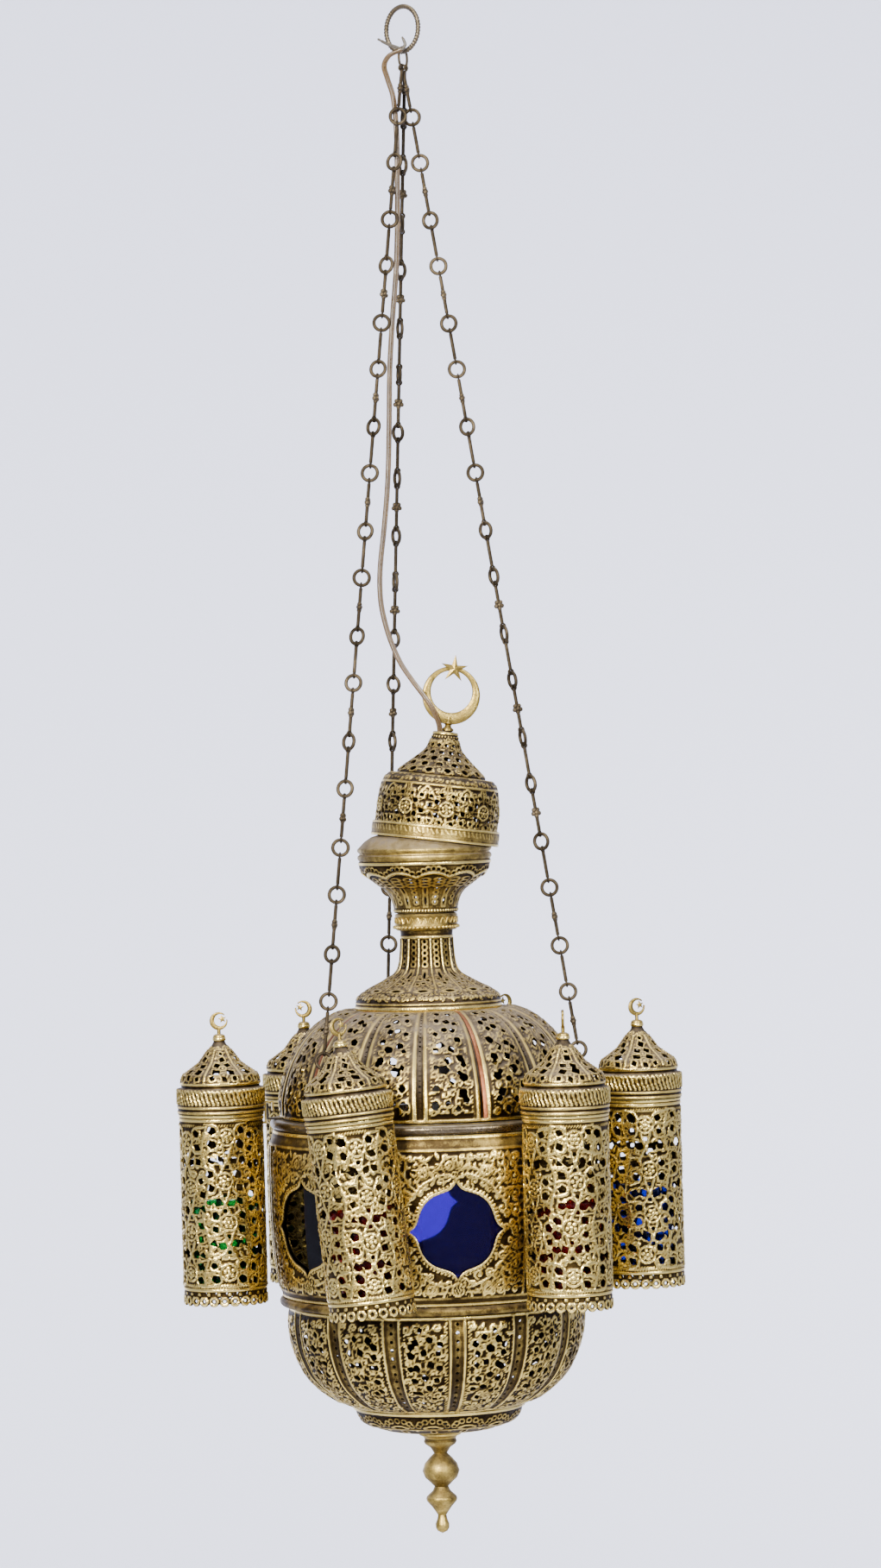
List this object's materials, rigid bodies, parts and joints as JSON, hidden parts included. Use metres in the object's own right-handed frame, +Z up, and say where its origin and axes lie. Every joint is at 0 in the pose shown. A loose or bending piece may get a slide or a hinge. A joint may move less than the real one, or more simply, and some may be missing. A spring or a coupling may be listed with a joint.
{
  "type": "hanging lantern",
  "caption": "Hanging lantern of pierced, embossed brass: a glazed globe on long chains with small lanterns hung round it and a loose domed cap with a crescent.",
  "frame": {"origin": "the bearing point inside the top of the hanging ring, where the ceiling hook carries it", "axes": "+Z up along the lantern's axis, -Y out through the front window, +X to the right as seen from the front"},
  "size_m": [0.4236, 0.3829, 1.2759],
  "materials": {
    "aged_brass": "pierced and embossed sheet, patinated with worn highlights and dust",
    "bright_brass": "cast and turned, lightly tarnished",
    "chain_brass": "darkened wire",
    "cord_plastic": "copper-gold flat twin insulation",
    "holder_plastic": "moulded",
    "bulb_glass": "frosted",
    "blue_glass": "deep blue sheet",
    "red_glass": "red",
    "green_glass": "green",
    "pale_glass": "pale clear sheet",
    "amber_glass": "amber",
    "dark_glass": "near-black sheet"
  },
  "bodies": {
    "hanger": {"hanging_ring": "aged_brass"},
    "collector": {"collector_ring": "chain_brass"},
    "lantern": {"chain_right_upper": "chain_brass", "chain_right_lower": "chain_brass", "chain_back_upper": "chain_brass", "chain_back_lower": "chain_brass", "chain_left_upper": "chain_brass", "chain_left_lower": "chain_brass", "chain_hook_right": "chain_brass", "chain_hook_back": "chain_brass", "chain_hook_left": "chain_brass", "cup_shoulder": "aged_brass", "cup": "aged_brass", "waist_bead": "aged_brass", "neck": "aged_brass", "dome": "aged_brass", "upper_flange": "aged_brass", "drum": "aged_brass", "window_glass_1": "blue_glass", "window_glass_2": "red_glass", "window_glass_3": "green_glass", "window_glass_4": "pale_glass", "window_glass_5": "amber_glass", "window_glass_6": "dark_glass", "lower_flange": "aged_brass", "bowl": "aged_brass", "bowl_boss": "aged_brass", "pendant_finial": "bright_brass", "lamp_holder": "holder_plastic", "bulb": "bulb_glass", "cord": "cord_plastic", "cord_inner": "cord_plastic", "satellite_1_clip": "aged_brass", "satellite_2_clip": "aged_brass", "satellite_3_clip": "aged_brass", "satellite_4_clip": "aged_brass", "satellite_5_clip": "aged_brass", "satellite_6_clip": "aged_brass"},
    "cap": {"cap_shell": "aged_brass", "cap_collar": "aged_brass", "crescent_finial": "bright_brass", "finial_star": "bright_brass"},
    "satellite_1": {"satellite_1_tube": "aged_brass", "satellite_1_glass": "red_glass"},
    "satellite_1_lid": {"satellite_1_lid": "aged_brass"},
    "satellite_2": {"satellite_2_tube": "aged_brass", "satellite_2_glass": "blue_glass"},
    "satellite_2_lid": {"satellite_2_lid": "aged_brass"},
    "satellite_3": {"satellite_3_tube": "aged_brass", "satellite_3_glass": "green_glass"},
    "satellite_3_lid": {"satellite_3_lid": "aged_brass"},
    "satellite_4": {"satellite_4_tube": "aged_brass", "satellite_4_glass": "amber_glass"},
    "satellite_4_lid": {"satellite_4_lid": "aged_brass"},
    "satellite_5": {"satellite_5_tube": "aged_brass", "satellite_5_glass": "green_glass"},
    "satellite_5_lid": {"satellite_5_lid": "aged_brass"},
    "satellite_6": {"satellite_6_tube": "aged_brass", "satellite_6_glass": "red_glass"},
    "satellite_6_lid": {"satellite_6_lid": "aged_brass"}
  },
  "joints": [
    {"name": "ring_swing", "type": "hinge", "parent": "hanger", "child": "collector", "pos_m": [0, 0, -0.03555], "axis": [0.6018, -0.7986, 0], "range_deg": [-12, 12]},
    {"name": "collector_swing", "type": "hinge", "parent": "collector", "child": "lantern", "pos_m": [0, 0, -0.0495], "axis": [0.5, 0.866, 0], "range_deg": [-12, 12]},
    {"name": "cap_lift", "type": "slide", "parent": "lantern", "child": "cap", "axis": [0, 0, 1], "range_m": [0, 0.04], "deforming": ["cord", "cord_inner"]},
    {"name": "satellite_1_swing", "type": "hinge", "parent": "lantern", "child": "satellite_1", "pos_m": [0.06875, -0.11908, -0.907], "axis": [-0.866, -0.5, 0], "range_deg": [0, 15]},
    {"name": "satellite_1_lid_lift", "type": "slide", "parent": "satellite_1", "child": "satellite_1_lid", "axis": [0, 0, 1], "range_m": [0, 0.03]},
    {"name": "satellite_2_swing", "type": "hinge", "parent": "lantern", "child": "satellite_2", "pos_m": [0.1375, 0, -0.907], "axis": [0, -1, 0], "range_deg": [0, 15]},
    {"name": "satellite_2_lid_lift", "type": "slide", "parent": "satellite_2", "child": "satellite_2_lid", "axis": [0, 0, 1], "range_m": [0, 0.03]},
    {"name": "satellite_3_swing", "type": "hinge", "parent": "lantern", "child": "satellite_3", "pos_m": [0.06875, 0.11908, -0.907], "axis": [0.866, -0.5, 0], "range_deg": [0, 15]},
    {"name": "satellite_3_lid_lift", "type": "slide", "parent": "satellite_3", "child": "satellite_3_lid", "axis": [0, 0, 1], "range_m": [0, 0.03]},
    {"name": "satellite_4_swing", "type": "hinge", "parent": "lantern", "child": "satellite_4", "pos_m": [-0.06875, 0.11908, -0.907], "axis": [0.866, 0.5, 0], "range_deg": [0, 15]},
    {"name": "satellite_4_lid_lift", "type": "slide", "parent": "satellite_4", "child": "satellite_4_lid", "axis": [0, 0, 1], "range_m": [0, 0.03]},
    {"name": "satellite_5_swing", "type": "hinge", "parent": "lantern", "child": "satellite_5", "pos_m": [-0.1375, 0, -0.907], "axis": [0, 1, 0], "range_deg": [0, 15]},
    {"name": "satellite_5_lid_lift", "type": "slide", "parent": "satellite_5", "child": "satellite_5_lid", "axis": [0, 0, 1], "range_m": [0, 0.03]},
    {"name": "satellite_6_swing", "type": "hinge", "parent": "lantern", "child": "satellite_6", "pos_m": [-0.06875, -0.11908, -0.907], "axis": [-0.866, 0.5, 0], "range_deg": [0, 15]},
    {"name": "satellite_6_lid_lift", "type": "slide", "parent": "satellite_6", "child": "satellite_6_lid", "axis": [-0.089, 0.0514, 0.9947], "range_m": [0, 0.03]}
  ]
}
